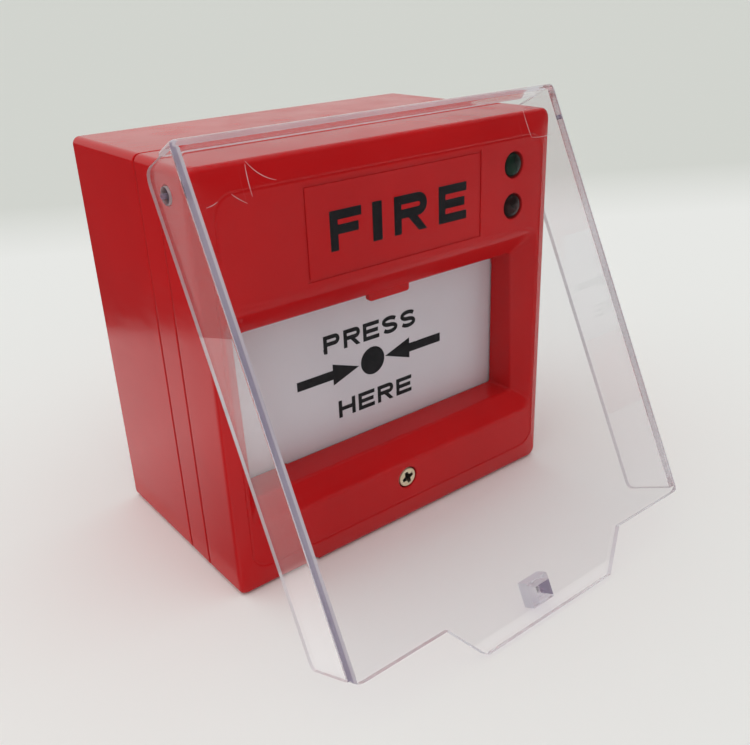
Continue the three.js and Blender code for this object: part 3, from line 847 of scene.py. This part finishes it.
def printed(name, body, outlines, face):
    """Ink a few hundredths of a millimetre proud. An outline may be followed by its holes."""
    sunk, thickness = 0.01, 0.05
    bm = bmesh.new()
    for loops in outlines:
        edges = []
        for loop in loops:
            verts = [bm.verts.new(at(x, face - sunk, z)) for x, z in loop]
            edges += [bm.edges.new((verts[i - 1], verts[i])) for i in range(len(verts))]
        bmesh.ops.triangle_fill(bm, use_beauty=True, edges=edges)
    grown = bmesh.ops.extrude_face_region(bm, geom=bm.faces[:])
    moved = [v for v in grown["geom"] if isinstance(v, bmesh.types.BMVert)]
    bmesh.ops.translate(bm, verts=moved, vec=(0, -thickness * MM, 0))
    fit(mesh_object(name, bm), body, "black_plastic", PRINT)


# Each letter is made from its width, its height and its stroke's thickness.

def letter_f(w, h, t):
    bar = h * 0.4
    outline = [(0, 0), (t, 0), (t, bar), (w * 0.9, bar), (w * 0.9, bar + t)]
    outline += [(t, bar + t), (t, h - t), (w, h - t), (w, h), (0, h)]
    return [outline]


def letter_i(w, h, t):
    return [[(0, 0), (w, 0), (w, h), (0, h)]]


def letter_e(w, h, t):
    bar = (h - t) / 2
    outline = [(0, 0), (w, 0), (w, t), (t, t), (t, bar), (w * 0.93, bar), (w * 0.93, bar + t)]
    outline += [(t, bar + t), (t, h - t), (w, h - t), (w, h), (0, h)]
    return [outline]


def letter_h(w, h, t):
    bar = (h - t) / 2
    outline = [(0, 0), (t, 0), (t, bar), (w - t, bar), (w - t, 0), (w, 0), (w, h)]
    outline += [(w - t, h), (w - t, bar + t), (t, bar + t), (t, h), (0, h)]
    return [outline]


def bowled_letter(w, h, t, leg):
    """P, or R where it has a leg."""
    low = h * 0.4
    radius = (h - low) / 2
    turn = w - radius
    outline = [(0, 0), (t, 0), (t, low)]
    if leg:
        outline += [(w * 0.42, low), (w - t * 1.2, 0), (w, 0), (w * 0.42 + t * 1.3, low)]
    outline += arc(turn, low + radius, radius, radius, -90, 90)
    outline.append((0, h))
    hole = [(t, low + t)] + arc(turn, low + radius, radius - t, radius - t, -90, 90)
    hole.append((t, h - t))
    return [outline, hole]


def letter_p(w, h, t):
    return bowled_letter(w * 0.95, h, t, leg=False)


def letter_r(w, h, t):
    return bowled_letter(w, h, t, leg=True)


def letter_s(w, h, t):
    """One stroke along two arcs, given its thickness."""
    reach = (w - t) / 2
    rise = (h - t) / 4
    path = arc(w / 2, h - t / 2 - rise, reach, rise, 25, 255)
    path += arc(w / 2, t / 2 + rise, reach, rise, 75, -155)
    sides = [[], []]
    for i, (x, z) in enumerate(path):
        before = Vector(path[max(i - 1, 0)])
        after = Vector(path[min(i + 1, len(path) - 1)])
        along = (after - before).normalized()
        for side, outline in zip((1, -1), sides):
            outline.append((x - along.y * side * t / 2, z + along.x * side * t / 2))
    return [sides[0] + sides[1][::-1]]


def word(letters, z, height, stroke):
    """Letters given as (form, left, right), standing on a level line."""
    made = []
    for form, left, right in letters:
        loops = form(right - left, height, stroke)
        made.append([[(x + left, dz + z) for x, dz in loop] for loop in loops])
    return made


def evenly(forms, left, width, pitch):
    """Letters of one width, as word takes them."""
    return [(form, left + pitch * i, left + width + pitch * i) for i, form in enumerate(forms)]


def arrow(tail, tip, z):
    head = tip + (tail - tip) * 0.43
    half_shaft = 1.05
    half_head = 2.45
    return [[
        (tail, z - half_shaft),
        (head, z - half_shaft),
        (head, z - half_head),
        (tip, z),
        (head, z + half_head),
        (head, z + half_shaft),
        (tail, z + half_shaft),
    ]]


def legends():
    fire = [(letter_f, -17.0, -9.7), (letter_i, -7.1, -4.8)]
    fire += [(letter_r, -1.8, 6.6), (letter_e, 9.7, 17.3)]
    height, stroke = 7.6, 1.8
    printed("legend_print", "housing", word(fire, 23.8, height, stroke), SHELL_FRONT)
    height, stroke = 4.1, 0.92
    press = evenly((letter_p, letter_r, letter_e, letter_s, letter_s), -13.0, 4.4, 5.2)
    here = evenly((letter_h, letter_e, letter_r, letter_e), -10.1, 4.5, 5.4)
    words = word(press, -1.6, height, stroke) + word(here, -17.5, height, stroke)
    printed("plate_words_print", "plate", words, PLATE_FRONT)
    dot = [arc(-0.3, -6.6, 3.25, 3.25, 0, 352.5, 47)]
    marks = [arrow(-20.2, -4.1, -6.8), arrow(19.5, 3.2, -6.6), dot]
    printed("plate_arrows_print", "plate", marks, PLATE_FRONT)


# ---- Lamps ----

def lamp(node, z, slot, material):
    """A domed lens on its flange, with two legs into the board."""
    radius, tip, dome = 2.45, 53.0, 1.3
    flange, front, rear, edge = 2.9, 45.2, 44.2, 0.1
    leg_spread, leg_radius = 1.27, 0.25
    leg_depths = (33, rear + 0.4)
    steps = 12
    profile = [(0, tip)]
    for i in range(1, steps + 1):
        angle = math.pi / 2 * i / steps
        profile.append((radius * math.sin(angle), tip - dome + dome * math.cos(angle)))
    profile += [(radius, front + edge), (flange - edge, front), (flange, front - edge)]
    profile += [(flange, rear + edge), (flange - edge, rear), (0, rear)]
    lens_body = lathe(node + "_lens", (LAMP_X, z), profile)
    legs = []
    for side in (-1, 1):
        leg = (LAMP_X + side * leg_spread, z)
        legs.append(rod(leg, leg_radius, leg_depths, steps=steps))
    combine(lens_body, legs, "UNION")
    fit(smooth(lens_body, 50), "housing", slot, material, node)


# ---- Front screw ----

def front_screw():
    """A flat-faced screw with a rolled rim, a cross recess and a threaded shank."""
    face = SHELL_FRONT - 0.1
    head, rim, head_rear = 2.2, 0.25, face - 1.6
    shank, thread, pitch = 1.4, 0.2, 0.5
    thread_start, thread_end, tip = face - 2.4, 37.2, 36.4
    steps = 4
    profile = [(0, face), (head - rim, face)]
    for i in range(1, steps + 1):
        angle = math.pi / 2 * i / steps
        profile.append((
            head - rim + rim * math.sin(angle),
            face - rim + rim * math.cos(angle),
        ))
    profile += [(head, head_rear), (shank, head_rear)]
    depth = thread_start
    while depth > thread_end:
        profile.append((shank - thread, depth))
        profile.append((shank, depth - thread))
        profile.append((shank - thread, depth - thread * 2))
        depth -= pitch
    profile += [(shank * 0.5, tip), (0, tip)]
    screw = lathe("front_screw_turned", (0, SCREW_Z), profile)
    combine(screw, [cross_recess((0, SCREW_Z), face, 1.5)], "DIFFERENCE")
    fit(smooth(screw), "housing", "zinc_steel", ZINC, "front_screw")
    paint_recess_shade(screw, face)


def paint_recess_shade(screw, face):
    """Paints shade into the cross recess with a darker metal. The recess's own faces lie near the
    axis, between the screw's face and its floor.
    """
    reach, shallowest, deepest = 1.8, 0.02, 1.3
    screw.data.materials.append(RECESS_PAINTED_SHADE)
    for part in screw.data.polygons:
        x, y, z = part.center / MM
        if math.hypot(x, z - SCREW_Z) < reach and shallowest < face + y < deepest:
            part.material_index = 1


def cross_recess(centre, face, reach):
    """A four-winged cutter that narrows as it goes in, turned a little."""
    wing = 0.36
    throat = wing * 1.6
    turn = Matrix.Rotation(0.35, 2)
    quarter = [(reach, -wing), (reach, wing), (throat, throat)]
    outline = []
    for _ in range(4):
        outline += quarter
        quarter = [(-z, x) for x, z in quarter]
    loops = []
    for scale, depth in ((1.15, face + 0.4), (1, face), (0.45, face - 1.2)):
        turned = [turn @ Vector(p) * scale for p in outline]
        loops.append([at(centre[0] + p.x, depth, centre[1] + p.y) for p in turned])
    return loft("recess", loops)


# ---- Flap ----

def from_flap_frame():
    """Turns places in the flap's own frame into places with the flap as it stands at rest."""
    return Matrix.Translation(at(0, PIVOT_DEPTH, PIVOT_Z)) @ Matrix.Rotation(-FLAP_TILT, 4, "X")


def clear_flap():
    """The CAD's flap with rounded edges. Its narrow faces get pale and dark finishes of their own,
    which paint light and shade on them.
    """
    flap = refined("flap_moulding", "clear_flap", 0.3)
    combine(flap, [flap_envelope()], "INTERSECT")
    fit(smooth(flap), "flap", "clear_plastic", CLEAR, "clear_flap")
    finishes = [CLEAR, CLEAR_ROUND_PAINTED_LIGHT, CLEAR_END_PAINTED_LIGHT, CLEAR_CUT_PAINTED_LIGHT, CLEAR_PAINTED_SHADE]
    for material in finishes[1:]:
        flap.data.materials.append(material)
    to_flap_frame = from_flap_frame().inverted()
    hang = to_flap_frame.to_3x3()
    for face in flap.data.polygons:
        finish = flap_painted_light_or_shade(to_flap_frame @ face.center / MM, hang @ face.normal)
        face.material_index = finishes.index(finish)


def flap_painted_light_or_shade(place, normal):
    """Chooses a face's finish by where it is, and by how squarely it looks along an axis. Every
    finish but the plain clear one paints light or shade.
    """
    slightly, mostly, squarely = 0.3, 0.7, 0.9
    pin_radius, pin_bore, pin_length = 2, 1, 2
    lower_half = -40
    on_wall = abs(place.x) > FLAP_WALL_X
    off_axis = math.hypot(place.y, place.z)
    # The pin's sides get pale painted light, its bore dark painted shade.
    if off_axis < pin_radius and abs(place.x) < FLAP_WALL_X + pin_length:
        return CLEAR_END_PAINTED_LIGHT if off_axis > pin_bore else CLEAR_PAINTED_SHADE
    # The eyelet's inner face on the right gets dark painted shade.
    if in_eyelet(place) and normal.x < -squarely and place.x > 0:
        return CLEAR_PAINTED_SHADE
    # Rounded wall edges: pale painted light where they face forward, dark painted shade where they
    # face sideways.
    if on_wall and normal.y < -slightly and abs(normal.x) > slightly:
        return CLEAR_PAINTED_SHADE if abs(normal.x) > mostly else CLEAR_ROUND_PAINTED_LIGHT
    # The walls' ends get pale painted light.
    if on_wall and abs(normal.x) < slightly and normal.y > -squarely:
        return CLEAR_END_PAINTED_LIGHT
    # Faces behind the sheet that look back, and the cut faces along the bottom, get pale painted
    # light.
    if not on_wall and normal.y > squarely and place.y > FLAP_SHEET_REAR:
        return CLEAR_CUT_PAINTED_LIGHT
    if not on_wall and abs(normal.y) < slightly and place.z < lower_half:
        return CLEAR_CUT_PAINTED_LIGHT
    return CLEAR


def in_eyelet(place):
    half_width, top = 4, -80
    return abs(place.x) < half_width and place.z < top and place.y > FLAP_SHEET_REAR


def flap_envelope():
    """The flap's outside with its front and top edges rounded. It reaches well past the rest."""
    spare = 0.01
    side = FLAP_HALF + spare
    top = FLAP_TOP + spare
    front = spare - FLAP_SHEET_FRONT
    past_bottom, past_rear = -120, -60
    corner, rounding, inset = 1, 1.7, 6
    face = ring(side - inset, past_bottom + inset, top - inset, corner, front)
    envelope = moulding("envelope", [
        (ring(side, past_bottom, top, corner, past_rear), 0),
        (ring(side, past_bottom, top, corner, front), rounding),
        (face, 0),
    ], closed=False)
    envelope.data.transform(from_flap_frame())
    return envelope


def flap_scratches():
    """Hair-thin pale scratches on the sheet's outer face, near its upper corners."""
    marks = [
        scratch((-33.6, 0.9), (-32, -2.2), (-29, -3.1)),
        scratch((-33.8, 0.4), (-34.3, -2.2), (-34.3, -5.1)),
        scratch((-37.9, -4), (-37.2, -4.9), (-35.6, -6)),
        scratch((-43, -5.4), (-41.9, -5.4), (-40.7, -4.8)),
        scratch((33, 1.4), (32.8, -2), (33.1, -4.3)),
        scratch((33.1, -4.3), (36, -4.9), (40.3, -4.3)),
    ]
    made = combine(marks[0], marks[1:], "UNION")
    made.name = "flap_scratches"
    made.data.transform(from_flap_frame())
    fit(made, "flap", "clear_plastic", SCRATCH)


def scratch(start, bend, end):
    """A ridge that tapers to both ends of a bent line."""
    end_width, swell, height = 0.015, 0.032, 0.02
    steps = 12
    loops = []
    for i in range(steps + 1):
        t = i / steps
        first = Vector(start).lerp(Vector(bend), t)
        second = Vector(bend).lerp(Vector(end), t)
        half_width = end_width + swell * math.sin(math.pi * t)
        across = (second - first).normalized().orthogonal() * half_width
        here = first.lerp(second, t)
        loop = []
        for side, lift in ((1, 0), (-1, 0), (-1, height), (1, height)):
            x, z = here + across * side
            loop.append(Vector((x, FLAP_SHEET_FRONT - lift, z)) * MM)
        loops.append(loop)
    return loft("scratch", loops)


# ---- What is inside the casing ----

# The finish of each CAD node that is carried over, by how its name starts.
INNER_FINISH = {
    "plate_latch": STEEL,
    "switch_lever": STEEL,
    "front_screw_insert": BRASS,
    "box_insert": BRASS,
    "terminal_clamp": BRASS,
    "frame_screw": ZINC,
    "board_screw": ZINC,
    "terminal_screw": ZINC,
    "switch_pin": ZINC,
    "switch_plunger": WHITE,
    "switch_body": BLACK,
    "polarity_diode": BLACK,
    "green_lamp_spacer": BLACK,
    "red_lamp_spacer": BLACK,
    "circuit_board": BOARD,
    "terminal_block": GREEN,
    "line_resistor": SAND,
    "end_of_line_resistor": SAND,
}


def dress_inside():
    """Gives the CAD nodes that stay visible their finishes."""
    for name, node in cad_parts.items():
        for start, material in INNER_FINISH.items():
            if name.startswith(start):
                node.data.materials.clear()
                node.data.materials.append(material)


# ---- Studio ----

def studio_floor():
    """A pale table. Past its far edge the floor goes on a little darker and greener."""
    bm = bmesh.new()
    bmesh.ops.create_grid(bm, x_segments=2, y_segments=2, size=60)
    floor = mesh_object("floor", bm)
    floor.location.z = FLOOR_Z
    s = Surface("pale_table")
    away = (0.527, 0.850, 0)
    edge = (0.20, 0.31)
    fading = (0.5, 1.6)
    across = maths(s.tree, "ShaderNodeVectorMath", "DOT_PRODUCT", s.place, away)
    around = maths(s.tree, "ShaderNodeVectorMath", "LENGTH", s.place)
    past_edge = s.remap(across.outputs["Value"], *edge, 0, 1)
    far_off = s.remap(around.outputs["Value"], *fading, 0, 1)
    far = larger(s.tree, past_edge, far_off)
    s.feed(s.blend(far, (0.86, 0.86, 0.85), (0.69, 0.70, 0.67)), "Base Color")
    s.roughness(8, 2, 0.75, 0.85)
    s.set(Specular_IOR_Level=0.0)
    floor.data.materials.append(s.material)


def studio_light():
    """A pale room, as bright as the far floor to look at. Glossy surfaces see it dark in front,
    bright behind, where the window is, and half bright at either side."""
    lighting, backdrop = 0.55, 0.645
    front, window, sides = 0.05, 0.75, 0.4
    window_reach = (-0.1, 0.9)
    side_reach = (0.78, 0.95)
    world = bpy.data.worlds.new("pale_room")
    world.use_nodes = True
    tree = world.node_tree
    place = tree.nodes.new("ShaderNodeTexCoord").outputs["Generated"]
    rays = tree.nodes.new("ShaderNodeLightPath").outputs
    to_window = Vector((0.15, 0.85, 0.5)).normalized()
    behind = maths(tree, "ShaderNodeVectorMath", "DOT_PRODUCT", place, to_window)
    parts = tree.nodes.new("ShaderNodeSeparateXYZ")
    tree.links.new(place, parts.inputs[0])
    sideways = maths(tree, "ShaderNodeMath", "ABSOLUTE", parts.outputs["X"])
    mirrored = larger(
        tree,
        remapped(tree, behind.outputs["Value"], *window_reach, front, window, "SMOOTHSTEP"),
        remapped(tree, sideways.outputs[0], *side_reach, 0, sides, "SMOOTHSTEP"),
    )
    looked_at = larger(tree, rays["Is Camera Ray"], rays["Is Transmission Ray"])
    seen = tree.nodes.new("ShaderNodeMix")
    tree.links.new(remapped(tree, looked_at, 0, 1, lighting, backdrop), seen.inputs["A"])
    tree.links.new(mirrored, seen.inputs["B"])
    tree.links.new(rays["Is Glossy Ray"], seen.inputs["Factor"])
    background = tree.nodes["Background"]
    background.inputs["Color"].default_value = (0.98, 1.0, 0.97, 1)
    tree.links.new(seen.outputs["Result"], background.inputs["Strength"])
    bpy.context.scene.world = world
    soft_sun("overhead", (0.0, -0.15, 1.0), 0.75)
    soft_sun("left_overhead", (-0.6, 0.4, 1.0), 0.6)


def soft_sun(name, source, strength):
    """A very broad distant light, so that near and far floor are lit alike."""
    data = bpy.data.lights.new(name, "SUN")
    data.angle = math.radians(75)
    data.energy = strength
    light = bpy.data.objects.new(name, data)
    light.rotation_euler = (-Vector(source)).to_track_quat("-Z", "Y").to_euler()
    light.visible_camera = False
    light.visible_glossy = False
    bpy.context.scene.collection.objects.link(light)


def reflection_card(name, corners, brightness, fade=(-0.04, 0.02)):
    """A studio card that only reflections see. It grows brighter from one Y to the other."""
    bm = bmesh.new()
    bm.faces.new([bm.verts.new(at(*corner)) for corner in corners])
    card = mesh_object(name, bm)
    s = Surface(name + "_face")
    s.set(Base_Color=(0.01, 0.01, 0.01, 1), Emission_Strength=brightness)
    back = s.nodes.new("ShaderNodeSeparateXYZ")
    s.links.new(s.place, back.inputs[0])
    share = s.remap(back.outputs["Y"], *fade, 0, 1)
    s.feed(s.blend(share, (0.25, 0.24, 0.24), (1.0, 0.97, 0.96)), "Emission Color")
    card.data.materials.append(s.material)
    card.visible_camera = False
    card.visible_diffuse = False
    card.visible_shadow = False
    card.visible_transmission = False


def studio_cards():
    """An upright dark card at the left rear, and two pale ones that lie beside the casing."""
    base = FLOOR_Z / MM
    top = base + 90
    low = base + 0.5
    outer, inner = -170, -46
    rear, middle, front = -140, 50, 160
    near, far = (outer, -5), (-50, -150)
    corners = [(*near, base), (*far, base), (*far, top), (*near, top)]
    reflection_card("dark_card", corners, 0.07)
    corners = [(inner, middle, low), (inner, rear, low), (*far, low), (*near, low)]
    corners.append((outer, middle, low))
    reflection_card("pale_card", corners, 0.95)
    corners = [(inner, middle, low), (outer, middle, low), (outer, front, low)]
    corners.append((inner, front, low))
    reflection_card("front_card", corners, 1.1, (-0.047, -0.055))


def studio_camera():
    """The photo's camera, as fitted to the casing's corners."""
    data = bpy.data.cameras.new("camera")
    data.lens = 40.79
    data.sensor_width = 36
    data.clip_start = 0.01
    camera = bpy.data.objects.new("camera", data)
    back = -Vector((0.55112, 0.72276, -0.41700)).normalized()
    up = Vector((0.28634, 0.30559, 0.90809))
    right = up.cross(back).normalized()
    up = back.cross(right)
    turn = Matrix((right, up, back)).transposed()
    place = Vector((-0.103632, -0.178473, 0.069191))
    camera.matrix_world = Matrix.Translation(place) @ turn.to_4x4()
    bpy.context.scene.collection.objects.link(camera)
    bpy.context.scene.camera = camera


def light_paths():
    """Colours as they are, and enough bounces for light that runs along inside the flap."""
    scene = bpy.context.scene
    scene.view_settings.view_transform = "Standard"
    scene.cycles.max_bounces = 24
    scene.cycles.glossy_bounces = 20
    scene.cycles.transmission_bounces = 24
    scene.cycles.transparent_max_bounces = 16
    scene.cycles.caustics_reflective = False
    scene.cycles.caustics_refractive = False


studio_floor()
studio_light()
studio_cards()
studio_camera()
light_paths()
back_box()
middle_frame()
front_shell()
press_plate()
plate_springs()
legends()
lamp("green_lamp", GREEN_LAMP_Z, "green_lens", GREEN_LENS)
lamp("red_lamp", RED_LAMP_Z, "red_lens", RED_LENS)
front_screw()
clear_flap()
flap_scratches()
dress_inside()
